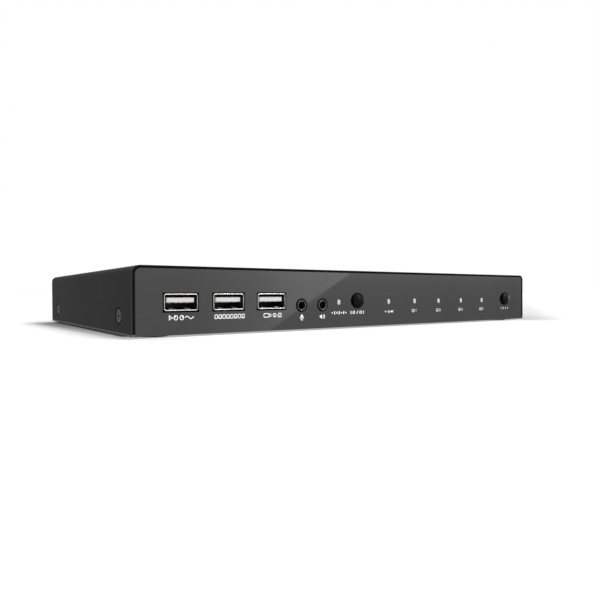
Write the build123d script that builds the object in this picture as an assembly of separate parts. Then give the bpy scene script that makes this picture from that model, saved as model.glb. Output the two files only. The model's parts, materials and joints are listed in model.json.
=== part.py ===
from build123d import *
import os

# Four-computer KVM switch in a folded sheet-metal case. All sizes are in millimetres.
# The origin is at the middle of the footprint, on the surface that the feet stand on.
# +X runs along the width, to the right of someone facing the front. The front faces -Y and +Z is up.

# ---- Case --------------------------------------------------------------------------------------
WIDTH = 230.0
DEPTH = 152.0
CASE_HEIGHT = 25.3
FOOT_HEIGHT = 0.8
FOOT_RADIUS = 5.5
FOOT_INSET = 11.0
SHEET = 0.8
BEND_RADIUS = 2.8
SHEET_GAP = 0.2
PANEL_THICK = 1.6
PANEL_RECESS = 0.2
PANEL_GAP = 0.1
PANEL_CORNER = 2.3
PANEL_BEVEL = 0.12

FRONT = -DEPTH / 2
REAR = DEPTH / 2
BASE = FOOT_HEIGHT
TOP = BASE + CASE_HEIGHT
FLOOR_TOP = BASE + SHEET
PANEL_FRONT = FRONT + PANEL_RECESS
PANEL_BACK = PANEL_FRONT + PANEL_THICK
WALL_BACK = PANEL_BACK + SHEET
WALL_HALF = WIDTH / 2 - SHEET - 2 * SHEET_GAP
WALL_TOP = TOP - SHEET - 2 * SHEET_GAP

# ---- Cover screws, in dimples pressed into the cover's sides --------------------------------------
SCREW_Y = (FRONT + 17.5, REAR - 18.0)
SCREW_Z = BASE + 6.95
DIMPLE_DEPTH = 0.9
DIMPLE_MOUTH = 3.8
DIMPLE_FLOOR = 3.1
TAB_THICK = 1.2
TAB_LONG = 14.0
TAB_HIGH = 12.0
SCREW_HEAD_RADIUS = 2.7
SCREW_HEAD_HIGH = 0.8
SCREW_SHANK_RADIUS = 1.45
SCREW_LONG = 3.6
SCREW_HOLE_GAP = 0.3
THREAD_GAP = 0.03
CROSS_LONG = 2.8
CROSS_WIDE = 0.6

# ---- Main board and what holds it ----------------------------------------------------------------
BOARD_THICK = 1.6
STANDOFF_HIGH = 5.6
STANDOFF_FLATS = 5.5
BOARD_UNDER = FLOOR_TOP + STANDOFF_HIGH
BOARD_TOP = BOARD_UNDER + BOARD_THICK
BOARD_HALF = 110.0
BOARD_FRONT = FRONT + 4.5
BOARD_REAR = REAR - 2.0
BOARD_HOLE_RADIUS = 1.6
STANDOFF_PLACES = [(x, y) for x in (-104.0, 0.0, 104.0) for y in (-46.0, 46.0)]
BOARD_SCREW_RADIUS = 1.25

# ---- Chips: the middle, the side and the leads on each side of every package ----------------------
CHIP_HIGH = 1.4
CHIP_LIFT = 0.1
CHIP_CORNER = 0.3
LEAD_WIDE = 0.4
LEAD_LONG = 1.0
LEAD_HIGH = 0.5
VIDEO_CHIP_PLACE = (-12.0, 16.0)
CHIPS = {
    "video_switch_chip": (VIDEO_CHIP_PLACE, 20.0, 16),
    "hub_chip": ((-76.0, -34.0), 9.0, 10),
    "audio_chip": ((-36.0, -36.0), 7.0, 8),
    "microcontroller": ((36.0, -28.0), 10.0, 11),
}

# ---- Front ports: type-A sockets for mouse, keyboard and one more device ---------------------------
FRONT_PORTS = ("mouse", "keyboard", "device")
PORT_FIRST_X = -97.1
PORT_PITCH = 19.4
PORT_Z = BASE + 12.0
PORT_OPEN_WIDE = 12.5
PORT_OPEN_HIGH = 5.5
PORT_WALL = 0.3
PORT_LIP = 0.42
PORT_LONG = 14.0
PORT_CORNER = 0.5
PORT_HOLE_WIDE = 14.0
PORT_HOLE_HIGH = 7.3
PORT_HOLE_DROP = 0.1
TONGUE_WIDE = 10.8
TONGUE_THICK = 1.9
TONGUE_DROP = 1.0
TONGUE_SETBACK = 0.8
TONGUE_BEVEL = 0.3
CONTACT_SETBACK = 3.0
INSERT_THICK = 2.4
CONTACT_OFFSETS = (-3.5, -1.0, 1.0, 3.5)
CONTACT_WIDE = 1.0
CONTACT_THICK = 0.2

# ---- Front 3.5 mm audio jacks --------------------------------------------------------------------
JACKS = ("microphone", "speaker")
JACK_FIRST_X = -43.5
JACK_PITCH = 11.05
JACK_Z = BASE + 10.1
JACK_BORE_RADIUS = 1.8
JACK_BORE_LONG = 14.5
JACK_NOSE_RADIUS = 2.7
JACK_WIDE = 6.4
JACK_HIGH = 5.0
JACK_LONG = 12.0

# ---- Indicator lamps -----------------------------------------------------------------------------
LAMP_WIDE = 1.6
LAMP_HIGH = 2.4
LAMP_Z = BASE + 11.15
LAMP_PROUD = 0.3
COLLAR_RADIUS = 1.8
COLLAR_THICK = 0.8
LED_WIDE = 3.2
LED_HIGH = 4.8
COMPUTER_FIRST_X = 24.4
COMPUTER_PITCH = 17.5
LAMPS = {"audio": -23.4, "power": 6.9}
LAMPS.update({f"computer_{i + 1}": COMPUTER_FIRST_X + COMPUTER_PITCH * i for i in range(4)})

# ---- Push buttons on tact switches ---------------------------------------------------------------
BUTTONS = {"audio": -12.5, "select": 97.8}
BUTTON_Z = BASE + 11.75
BUTTON_RADIUS = 3.3
BUTTON_PROUD = 1.6
BUTTON_CROWN = 0.8
BUTTON_EDGE = 0.25
BUTTON_GAP = 0.3
BUTTON_TRAVEL = 0.5
STOP_GAP = 0.1
FLANGE_RADIUS = 4.3
FLANGE_THICK = 0.8
STEM_RADIUS = 2.4
STEM_LONG = 3.5
SWITCH_WIDE = 7.0
SWITCH_HIGH = 7.4
SWITCH_LONG = 4.5
PLUNGER_RADIUS = 1.75
PLUNGER_FIT = 0.03
PLUNGER_IN_CAP = 2.0
PLUNGER_IN_SWITCH = 1.6

# ---- Rear connectors -----------------------------------------------------------------------------
COMPUTERS = 4
VIDEO_FIRST_X = -90.0
CHANNEL_PITCH = 38.0
HOST_FROM_VIDEO = 19.5
VIDEO_OUT_X = 72.0
VIDEO_WIDE = 14.9
VIDEO_HIGH = 5.5
VIDEO_SLOPE = 1.6
VIDEO_WALL = 0.4
VIDEO_LONG = 12.5
VIDEO_TONGUE = (11.5, 1.0)
HOST_WIDE = 12.0
HOST_HIGH = 11.0
HOST_WALL = 0.4
HOST_LONG = 15.5
HOST_OPEN = (8.45, 7.78)
HOST_OPEN_CORNER = 1.6
HOST_OPEN_DEEP = 9.5
HOST_TONGUE = (5.6, 3.2)
CONNECTOR_PROUD = 0.4
REAR_HOLE_GAP = 0.4
POWER_X = 99.0
POWER_WIDE = 9.0
POWER_HIGH = 11.0
POWER_LONG = 14.0
POWER_NOSE_RADIUS = 4.0
POWER_PROUD = BUTTON_PROUD
POWER_BORE_RADIUS = 2.85
POWER_BORE_DEEP = 11.0
POWER_PIN_RADIUS = 1.0
POWER_PIN_SETBACK = 1.2
NUT_FLATS = 10.0
NUT_THICK = 1.5


def block(x, y, z):
    """A box between the low and high values of each axis."""
    middle = Pos((x[0] + x[1]) / 2, (y[0] + y[1]) / 2, (z[0] + z[1]) / 2)
    return middle * Box(x[1] - x[0], y[1] - y[0], z[1] - z[0])


def around(middle, size):
    """The low and high values of a length centred on a place."""
    return (middle - size / 2, middle + size / 2)


def rod_x(radius, x, y, z):
    return Pos((x[0] + x[1]) / 2, y, z) * Rot(0, 90, 0) * Cylinder(radius, x[1] - x[0])


def rod_y(radius, x, y, z):
    return Pos(x, (y[0] + y[1]) / 2, z) * Rot(90, 0, 0) * Cylinder(radius, y[1] - y[0])


def rod_z(radius, x, y, z):
    return Pos(x, y, (z[0] + z[1]) / 2) * Cylinder(radius, z[1] - z[0])


def along_y(outline, y):
    """An outline drawn in X and Z, extruded between two values of Y."""
    return Pos(0, y[1], 0) * extrude(Plane.XZ * outline, amount=y[1] - y[0])


def union(shapes):
    """The pieces joined where they touch."""
    return Part() + list(shapes)


def separate(shapes):
    """Pieces that stay apart, kept together as one group."""
    return Compound(children=[solid for shape in shapes for solid in shape.solids()])


def port_x(index):
    return PORT_FIRST_X + PORT_PITCH * index


def jack_x(index):
    return JACK_FIRST_X + JACK_PITCH * index


def video_places():
    """The middle of each video socket: one for each computer, then the monitor's."""
    places = {f"video_in_{i + 1}": VIDEO_FIRST_X + CHANNEL_PITCH * i for i in range(COMPUTERS)}
    places["video_out"] = VIDEO_OUT_X
    return places


def host_places():
    return [VIDEO_FIRST_X + HOST_FROM_VIDEO + CHANNEL_PITCH * i for i in range(COMPUTERS)]


# ---- Case --------------------------------------------------------------------------------------
def arch(half_width, top, radius):
    """The cover's outline in X and Z: square below, with a round bend at each top corner."""
    outline = Pos(0, (BASE + top) / 2) * Rectangle(2 * half_width, top - BASE)
    return fillet(outline.vertices().group_by(Axis.Y)[-1], radius)


def dimple(side, y, mouth_radius, floor_radius, outer, depth):
    """A cone whose mouth is at the given X, narrowing towards the middle of the case."""
    cone = Cone(floor_radius, mouth_radius, depth)
    return Pos(side * (outer - depth / 2), y, SCREW_Z) * Rot(0, 90 * side, 0) * cone


def make_top_cover():
    half = WIDTH / 2
    sheet = arch(half, TOP, BEND_RADIUS) - arch(half - SHEET, TOP - SHEET, BEND_RADIUS - SHEET)
    cover = along_y(sheet, (FRONT, REAR))
    cover -= block((-half, half), (FRONT, REAR), (BASE, FLOOR_TOP + PANEL_GAP))
    for side in (-1, 1):
        for y in SCREW_Y:
            boss = dimple(side, y, DIMPLE_MOUTH + SHEET, DIMPLE_FLOOR + SHEET, half - SHEET, DIMPLE_DEPTH)
            recess = dimple(side, y, DIMPLE_MOUTH, DIMPLE_FLOOR, half, DIMPLE_DEPTH)
            hole = rod_x(SCREW_SHANK_RADIUS + SCREW_HOLE_GAP, around(side * half, 6 * SHEET), y, SCREW_Z)
            cover = cover + boss - recess - hole
    return cover


def make_cover_screws():
    """Pan-head screws with a cross recess, one in each dimple."""
    screws = []
    for side in (-1, 1):
        seat = side * (WIDTH / 2 - DIMPLE_DEPTH)
        head_end = seat + side * SCREW_HEAD_HIGH
        tip = seat - side * SCREW_LONG
        for y in SCREW_Y:
            head = rod_x(SCREW_HEAD_RADIUS, sorted((seat, head_end)), y, SCREW_Z)
            rim = head.faces().sort_by(Axis.X)[0 if side < 0 else -1].edges()
            head = fillet(rim, SCREW_HEAD_HIGH / 2)
            shank = rod_x(SCREW_SHANK_RADIUS, sorted((tip, seat)), y, SCREW_Z)
            slot_x = around(head_end, SCREW_HEAD_HIGH)
            bars = block(slot_x, around(y, CROSS_LONG), around(SCREW_Z, CROSS_WIDE))
            bars += block(slot_x, around(y, CROSS_WIDE), around(SCREW_Z, CROSS_LONG))
            screws.append(head + shank - bars)
    return separate(screws)


def lamp_oval(x, y, grow=0.0):
    """A light pipe's upright oval, grown evenly outwards, between two values of Y."""
    oval = SlotOverall(LAMP_HIGH + 2 * grow, LAMP_WIDE + 2 * grow, rotation=90)
    return along_y(Pos(x, LAMP_Z) * oval, y)


def front_openings(y, gap):
    """What passes through the front: sockets, jacks, lamps and buttons, with a gap around each."""
    wide = PORT_HOLE_WIDE + 2 * gap
    port_z = around(PORT_Z - PORT_HOLE_DROP, PORT_HOLE_HIGH + 2 * gap)
    holes = [block(around(port_x(i), wide), y, port_z) for i in range(len(FRONT_PORTS))]
    holes += [rod_y(JACK_NOSE_RADIUS + SHEET_GAP + gap, jack_x(i), y, JACK_Z) for i in range(len(JACKS))]
    holes += [lamp_oval(x, y, SHEET_GAP / 2 + gap) for x in LAMPS.values()]
    holes += [rod_y(BUTTON_RADIUS + BUTTON_GAP + gap, x, y, BUTTON_Z) for x in BUTTONS.values()]
    return holes


def make_front_panel():
    outline = arch(WIDTH / 2 - SHEET - PANEL_GAP, TOP - SHEET - PANEL_GAP, PANEL_CORNER)
    panel = along_y(outline, (PANEL_FRONT, PANEL_BACK))
    face = panel.faces().sort_by(Axis.Y)[0]
    panel = chamfer(face.edges(), PANEL_BEVEL)
    return panel - front_openings((PANEL_FRONT - SHEET, PANEL_BACK + SHEET), 0)


def video_outline(x, grow=0.0):
    """The video socket in X and Z: a rectangle whose lower corners are cut off, grown evenly outwards."""
    half = VIDEO_WIDE / 2 + grow
    low = BOARD_TOP - grow
    high = BOARD_TOP + VIDEO_HIGH + grow
    slope = VIDEO_SLOPE + grow * (2 - 2**0.5)
    corners = [(half, high), (-half, high), (-half, low + slope), (slope - half, low)]
    corners += [(half - slope, low), (half, low + slope)]
    return Pos(x, 0) * Polygon(*corners, align=None)


def rear_openings():
    """The holes in the rear wall for the video sockets, host ports and power jack."""
    y = (REAR - 2 * SHEET, REAR + SHEET)
    gap = REAR_HOLE_GAP
    holes = [along_y(video_outline(x, gap), y) for x in video_places().values()]
    host_z = (BOARD_TOP - gap, BOARD_TOP + HOST_HIGH + gap)
    holes += [block(around(x, HOST_WIDE + 2 * gap), y, host_z) for x in host_places()]
    holes.append(rod_y(POWER_NOSE_RADIUS + gap / 2, POWER_X, y, BOARD_TOP + POWER_HIGH / 2))
    return holes


def make_chassis():
    """The tray: a floor, a front and a rear wall folded up from it, and four tabs for the cover's screws.

    The floor reaches out under the cover's sides, and on both sides of the panel to the front.
    """
    half = WIDTH / 2
    floor = block((-half, half), (PANEL_BACK, REAR), (BASE, FLOOR_TOP))
    floor += block((-half, SHEET - half), (FRONT, PANEL_BACK), (BASE, FLOOR_TOP))
    floor += block((half - SHEET, half), (FRONT, PANEL_BACK), (BASE, FLOOR_TOP))
    wall = arch(WALL_HALF, WALL_TOP, BEND_RADIUS - SHEET)
    front_wall = along_y(wall, (PANEL_BACK, WALL_BACK))
    rear_wall = along_y(wall, (REAR - SHEET, REAR))
    tabs = []
    for side in (-1, 1):
        outer = side * (WIDTH / 2 - SHEET - DIMPLE_DEPTH)
        across_tab = sorted((outer, outer - side * TAB_THICK))
        for y in SCREW_Y:
            tab = block(across_tab, around(y, TAB_LONG), (BASE, FLOOR_TOP + TAB_HIGH))
            tabs.append(tab - rod_x(SCREW_SHANK_RADIUS + THREAD_GAP, around(outer, 4 * SHEET), y, SCREW_Z))
    tray = union([floor, front_wall, rear_wall] + tabs)
    return tray - front_openings((FRONT, WALL_BACK + SHEET), SHEET_GAP) - rear_openings()


def make_foot(side_x, side_y):
    """A stick-on rubber foot with a rounded lower edge."""
    x = side_x * (WIDTH / 2 - FOOT_INSET)
    y = side_y * (DEPTH / 2 - FOOT_INSET)
    foot = rod_z(FOOT_RADIUS, x, y, (0, FOOT_HEIGHT))
    return fillet(foot.faces().sort_by(Axis.Z)[0].edges(), FOOT_HEIGHT / 3)


# ---- Board -------------------------------------------------------------------------------------
def make_main_board():
    board = block((-BOARD_HALF, BOARD_HALF), (BOARD_FRONT, BOARD_REAR), (BOARD_UNDER, BOARD_TOP))
    through = around(BOARD_TOP, 4 * BOARD_THICK)
    return board - [rod_z(BOARD_HOLE_RADIUS, x, y, through) for x, y in STANDOFF_PLACES]


def make_standoffs():
    """Hexagonal posts, tapped from above, that carry the board."""
    posts = []
    for x, y in STANDOFF_PLACES:
        hexagon = RegularPolygon(STANDOFF_FLATS / 2, 6, major_radius=False)
        post = Pos(x, y, FLOOR_TOP) * extrude(hexagon, amount=STANDOFF_HIGH)
        posts.append(post - rod_z(BOARD_SCREW_RADIUS + THREAD_GAP, x, y, (FLOOR_TOP + SHEET, BOARD_TOP)))
    return separate(posts)


def make_board_screws():
    screws = []
    for x, y in STANDOFF_PLACES:
        head = rod_z(SCREW_HEAD_RADIUS, x, y, (BOARD_TOP, BOARD_TOP + 2 * SCREW_HEAD_HIGH))
        head = fillet(head.faces().sort_by(Axis.Z)[-1].edges(), SCREW_HEAD_HIGH)
        slot_z = around(BOARD_TOP + 2 * SCREW_HEAD_HIGH, SCREW_HEAD_HIGH * 2)
        bars = block(around(x, CROSS_LONG), around(y, CROSS_WIDE), slot_z)
        bars += block(around(x, CROSS_WIDE), around(y, CROSS_LONG), slot_z)
        shank = rod_z(BOARD_SCREW_RADIUS, x, y, (BOARD_UNDER - SCREW_LONG + SHEET, BOARD_TOP))
        screws.append(head + shank - bars)
    return separate(screws)


def leaded_chip(place, size, leads):
    """A square chip package with a row of leads on each side."""
    x, y = place
    package = block(around(x, size), around(y, size), (BOARD_TOP + CHIP_LIFT, BOARD_TOP + CHIP_HIGH))
    package = chamfer(package.edges().filter_by(Axis.Z), CHIP_CORNER)
    pitch = (size - 2 * LEAD_WIDE) / leads
    lead_z = (BOARD_TOP, BOARD_TOP + LEAD_HIGH)
    pieces = [package]
    for i in range(leads):
        along = around(pitch * (i - (leads - 1) / 2), LEAD_WIDE)
        for side in (-1, 1):
            reach = sorted((side * size / 2, side * (size / 2 + LEAD_LONG)))
            pieces.append(Pos(x, y) * block(reach, along, lead_z))
            pieces.append(Pos(x, y) * block(along, reach, lead_z))
    return union(pieces)


def make_heat_sink(fins=8, base=2.0, high=9.0, size=24.0, fin=1.0):
    """A finned block glued to the top of the video switch chip."""
    x, y = VIDEO_CHIP_PLACE
    low = BOARD_TOP + CHIP_HIGH
    pieces = [block(around(x, size), around(y, size), (low, low + base))]
    pitch = (size - fin) / (fins - 1)
    for i in range(fins):
        across = around(x + pitch * i - (size - fin) / 2, fin)
        pieces.append(block(across, around(y, size), (low, low + high)))
    return union(pieces)


def make_crystal(x=58.0, y=-28.0, long=11.0, wide=4.6, high=3.5, rim=0.4):
    """A metal can with round ends, on a thin rim."""
    can = Pos(x, y, BOARD_TOP) * extrude(SlotOverall(long, wide), amount=high)
    base = Pos(x, y, BOARD_TOP) * extrude(SlotOverall(long + 2 * rim, wide + 2 * rim), amount=rim)
    return can + base


def make_capacitors(radius=4.0, high=11.0, groove=0.3, groove_up=2.0):
    """Six electrolytic cans near the power jack, each with a rolled groove near its foot."""
    cans = []
    for x in (84.0, 95.0, 106.0):
        for y in (22.0, 34.0):
            can = rod_z(radius, x, y, (BOARD_TOP, BOARD_TOP + high))
            can = fillet(can.faces().sort_by(Axis.Z)[-1].edges(), groove)
            ring_z = around(BOARD_TOP + groove_up, 2 * groove)
            ring = rod_z(radius + groove, x, y, ring_z) - rod_z(radius - groove, x, y, ring_z)
            cans.append(can - ring)
    return separate(cans)


def make_power_inductor(x=66.0, y=28.0, size=12.0, high=7.0, core=3.4, gap=1.0):
    """A shielded choke: a square ferrite block, with a round gap in its top around the core."""
    shell = block(around(x, size), around(y, size), (BOARD_TOP, BOARD_TOP + high))
    shell = chamfer(shell.edges().filter_by(Axis.Z), size / 6)
    gap_z = (BOARD_TOP + high - gap, BOARD_TOP + high)
    return shell - (rod_z(core + gap, x, y, gap_z) - rod_z(core, x, y, gap_z))


def make_voltage_regulator(x=66.0, y=6.0, size=9.0, high=2.5, leg=3.0, leg_wide=0.8, leg_pitch=2.5):
    """A flat power package with a soldered metal tab and three legs."""
    package = block(around(x, size), around(y, size), (BOARD_TOP, BOARD_TOP + high))
    tab = block(around(x, size), (y, y + size / 2 + leg), (BOARD_TOP, BOARD_TOP + high / 2))
    pieces = [package, tab]
    for i in (-1, 0, 1):
        across = around(x + leg_pitch * i, leg_wide)
        pieces.append(block(across, (y - size / 2 - leg, y), (BOARD_TOP, BOARD_TOP + leg_wide)))
    return union(pieces)


def make_beeper(x=-62.0, y=12.0, radius=6.0, high=8.5, hole=1.2):
    """A round can with a sound hole in its top."""
    can = rod_z(radius, x, y, (BOARD_TOP, BOARD_TOP + high))
    can = fillet(can.faces().sort_by(Axis.Z)[-1].edges(), hole / 2)
    return can - rod_z(hole, x, y, (BOARD_TOP + high - hole, BOARD_TOP + high))


# ---- Front ports ---------------------------------------------------------------------------------
def port_frame(x, lip, y):
    """A rectangular tube along Y, open at both ends, with a given thickness above and below."""
    outer = RectangleRounded(PORT_OPEN_WIDE + 2 * PORT_WALL, PORT_OPEN_HIGH + 2 * lip, PORT_CORNER)
    inner = RectangleRounded(PORT_OPEN_WIDE, PORT_OPEN_HIGH, PORT_CORNER / 2)
    return along_y(Pos(x, PORT_Z) * (outer - inner), y)


def make_port_shell(index):
    """A folded steel shell with a rolled lip at its mouth and four legs on the board."""
    x = port_x(index)
    mouth = FRONT
    tube = port_frame(x, PORT_WALL, (mouth, mouth + PORT_LONG))
    lip = port_frame(x, PORT_LIP, (mouth, mouth + PORT_WALL))
    low = PORT_Z - PORT_OPEN_HIGH / 2
    legs = []
    for side in (-1, 1):
        inside = x + side * PORT_OPEN_WIDE / 2
        leg_x = sorted((inside, inside + side * PORT_WALL))
        for y in (mouth + PORT_LONG * 0.45, mouth + PORT_LONG * 0.85):
            legs.append(block(leg_x, around(y, INSERT_THICK), (BOARD_TOP, low + PORT_LIP)))
    return union([tube, lip] + legs)


def tongue_z():
    top = PORT_Z + PORT_OPEN_HIGH / 2 - TONGUE_DROP
    return (top - TONGUE_THICK, top)


def make_port_tongue(index):
    """The insulator: a block that closes the back of the shell, with the contact tongue standing on it."""
    x = port_x(index)
    back = FRONT + PORT_LONG
    plug = block(around(x, PORT_OPEN_WIDE), (back - INSERT_THICK, back), around(PORT_Z, PORT_OPEN_HIGH))
    plug = chamfer(plug.edges().filter_by(Axis.Y), PORT_CORNER / 2)
    tongue = block(around(x, TONGUE_WIDE), (FRONT + TONGUE_SETBACK, back - INSERT_THICK), tongue_z())
    nose = tongue.faces().sort_by(Axis.Y)[0].edges()
    return chamfer(nose, TONGUE_BEVEL) + plug


def make_port_contacts():
    """Four flat contacts under each tongue."""
    under = tongue_z()[0]
    y = (FRONT + CONTACT_SETBACK, FRONT + PORT_LONG - INSERT_THICK)
    z = (under - CONTACT_THICK, under)
    strips = []
    for index in range(len(FRONT_PORTS)):
        for sideways in CONTACT_OFFSETS:
            strips.append(block(around(port_x(index) + sideways, CONTACT_WIDE), y, z))
    return separate(strips)


# ---- Audio jacks ---------------------------------------------------------------------------------
def jack_body_y():
    return (BOARD_FRONT, BOARD_FRONT + JACK_LONG)


def make_jack_body(index):
    """A moulded block on the board whose round nose reaches the front, with one blind bore."""
    x = jack_x(index)
    y = jack_body_y()
    body = block(around(x, JACK_WIDE), y, (BOARD_TOP, BOARD_TOP + JACK_HIGH))
    body = chamfer(body.edges().filter_by(Axis.Y).group_by(Axis.Z)[-1], 0.6)
    nose = rod_y(JACK_NOSE_RADIUS, x, (FRONT, y[0]), JACK_Z)
    nose = chamfer(nose.faces().sort_by(Axis.Y)[0].edges(), SHEET_GAP)
    return body + nose - rod_y(JACK_BORE_RADIUS, x, (FRONT, FRONT + JACK_BORE_LONG), JACK_Z)


def make_jack_contacts():
    """Side terminals that clip over each jack body and stand on the board."""
    clips = []
    for index in range(len(JACKS)):
        for side in (-1, 1):
            inside = jack_x(index) + side * JACK_WIDE / 2
            for back in (0.25, 0.75):
                y = around(jack_body_y()[0] + JACK_LONG * back, 2.6)
                clips.append(block(sorted((inside, inside + side * 0.3)), y, (BOARD_TOP, JACK_Z)))
    return separate(clips)


# ---- Lamps ---------------------------------------------------------------------------------------
def led_front():
    return BOARD_FRONT + 3 * SHEET_GAP


def make_light_pipe(x):
    """A moulded lens and pipe, with a collar that stops against the back of the front wall."""
    pipe = lamp_oval(x, (FRONT - LAMP_PROUD + PANEL_RECESS, led_front()))
    pipe = fillet(pipe.faces().sort_by(Axis.Y)[0].edges(), LAMP_WIDE / 5)
    return pipe + rod_y(COLLAR_RADIUS, x, (WALL_BACK, WALL_BACK + COLLAR_THICK), LAMP_Z)


def make_indicator_leds():
    """Right-angle LEDs, one behind each light pipe."""
    leds = []
    for x in LAMPS.values():
        y = (led_front(), led_front() + LED_WIDE)
        led = block(around(x, LED_WIDE), y, (BOARD_TOP, BOARD_TOP + LED_HIGH))
        leds.append(chamfer(led.edges().filter_by(Axis.Y).group_by(Axis.Z)[-1], 0.5))
    return separate(leds)


# ---- Buttons -------------------------------------------------------------------------------------
def flange_y():
    front = WALL_BACK + STOP_GAP
    return (front, front + FLANGE_THICK)


def stem_end():
    return flange_y()[1] + STEM_LONG


def switch_front():
    """The tact switch leaves the cap's stem twice its travel."""
    return stem_end() + 2 * BUTTON_TRAVEL


def make_button_cap(x):
    """A crowned round cap with a flange that stops behind the front wall and a hollow stem."""
    face = FRONT - BUTTON_PROUD
    flange = flange_y()
    crown_radius = (BUTTON_RADIUS**2 + BUTTON_CROWN**2) / (2 * BUTTON_CROWN)
    cap = rod_y(BUTTON_RADIUS, x, (face, flange[1]), BUTTON_Z)
    cap &= Pos(x, face + crown_radius, BUTTON_Z) * Sphere(crown_radius)
    cap = fillet(cap.edges().sort_by(Axis.Y)[0], BUTTON_EDGE)
    cap += rod_y(FLANGE_RADIUS, x, flange, BUTTON_Z)
    cap += rod_y(STEM_RADIUS, x, (flange[1], stem_end()), BUTTON_Z)
    return cap - rod_y(PLUNGER_RADIUS + PLUNGER_FIT, x, (stem_end() - PLUNGER_IN_CAP, stem_end()), BUTTON_Z)


def make_button_plunger(x):
    """The switch's actuator, pushed into the cap's stem in front and into the switch behind."""
    y = (stem_end() - PLUNGER_IN_CAP, switch_front() + PLUNGER_IN_SWITCH)
    return rod_y(PLUNGER_RADIUS, x, y, BUTTON_Z)


def make_switch_body(x):
    """A right-angle tact switch, with room for its plunger to travel."""
    front = switch_front()
    deep = PLUNGER_IN_SWITCH + BUTTON_TRAVEL + STOP_GAP
    body = block(around(x, SWITCH_WIDE), (front, front + SWITCH_LONG), (BOARD_TOP, BOARD_TOP + SWITCH_HIGH))
    body = chamfer(body.edges().filter_by(Axis.Y), 0.4)
    return body - rod_y(PLUNGER_RADIUS + PLUNGER_FIT, x, (front, front + deep), BUTTON_Z)


# ---- Rear connectors -----------------------------------------------------------------------------
def make_video_shell(x):
    y = (REAR + CONNECTOR_PROUD - VIDEO_LONG, REAR + CONNECTOR_PROUD)
    return along_y(video_outline(x) - video_outline(x, -VIDEO_WALL), y)


def make_video_tongues():
    """The insulators of the video sockets: a block at the back of each shell, with its contact tongue."""
    back = REAR + CONNECTOR_PROUD - VIDEO_LONG
    block_end = back + INSERT_THICK
    pieces = []
    for x in video_places().values():
        plug = along_y(video_outline(x, -VIDEO_WALL), (back, block_end))
        z = around(BOARD_TOP + VIDEO_HIGH / 2, VIDEO_TONGUE[1])
        pieces.append(plug + block(around(x, VIDEO_TONGUE[0]), (block_end, REAR - SHEET_GAP), z))
    return separate(pieces)


def make_host_shell(x):
    """A folded steel can around the host port's moulding."""
    z = (BOARD_TOP, BOARD_TOP + HOST_HIGH)
    y = (REAR + CONNECTOR_PROUD - HOST_LONG, REAR + CONNECTOR_PROUD)
    can = block(around(x, HOST_WIDE), y, z)
    hollow = block(around(x, HOST_WIDE - 2 * HOST_WALL), y, (z[0] + HOST_WALL, z[1] - HOST_WALL))
    return can - hollow


def make_host_inserts():
    """The host ports' mouldings: a square opening with two cut corners, around a contact tongue."""
    front = REAR + CONNECTOR_PROUD / 2
    floor = front - HOST_OPEN_DEEP
    pieces = []
    for x in host_places():
        middle = BOARD_TOP + HOST_HIGH / 2
        y = (REAR + CONNECTOR_PROUD - HOST_LONG, front)
        body = block(around(x, HOST_WIDE - 2 * HOST_WALL), y, around(middle, HOST_HIGH - 2 * HOST_WALL))
        opening = Pos(x, middle) * Rectangle(*HOST_OPEN)
        opening = chamfer(opening.vertices().group_by(Axis.Y)[-1], HOST_OPEN_CORNER)
        tongue = block(around(x, HOST_TONGUE[0]), (floor, front - SHEET), around(middle, HOST_TONGUE[1]))
        pieces.append(body - along_y(opening, (floor, front)) + tongue)
    return separate(pieces)


def power_z():
    return BOARD_TOP + POWER_HIGH / 2


def power_bore_y():
    return (REAR + POWER_PROUD - POWER_BORE_DEEP, REAR + POWER_PROUD)


def make_power_jack_body():
    """A moulded block behind the rear wall whose round nose passes through it."""
    y = (REAR - SHEET - POWER_LONG, REAR - SHEET)
    body = block(around(POWER_X, POWER_WIDE), y, (BOARD_TOP, BOARD_TOP + POWER_HIGH))
    nose = rod_y(POWER_NOSE_RADIUS, POWER_X, (y[1], REAR + POWER_PROUD), power_z())
    nose = chamfer(nose.faces().sort_by(Axis.Y)[-1].edges(), SHEET_GAP)
    return body + nose - rod_y(POWER_BORE_RADIUS, POWER_X, power_bore_y(), power_z())


def make_power_jack_pin():
    y = (power_bore_y()[0], REAR + POWER_PROUD - POWER_PIN_SETBACK)
    pin = rod_y(POWER_PIN_RADIUS, POWER_X, y, power_z())
    return fillet(pin.faces().sort_by(Axis.Y)[-1].edges(), POWER_PIN_RADIUS / 2)


def make_power_jack_nut():
    hexagon = Pos(POWER_X, power_z()) * RegularPolygon(NUT_FLATS / 2, 6, major_radius=False)
    nut = along_y(hexagon, (REAR, REAR + NUT_THICK))
    return nut - rod_y(POWER_NOSE_RADIUS + THREAD_GAP, POWER_X, (REAR, REAR + NUT_THICK), power_z())


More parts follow.
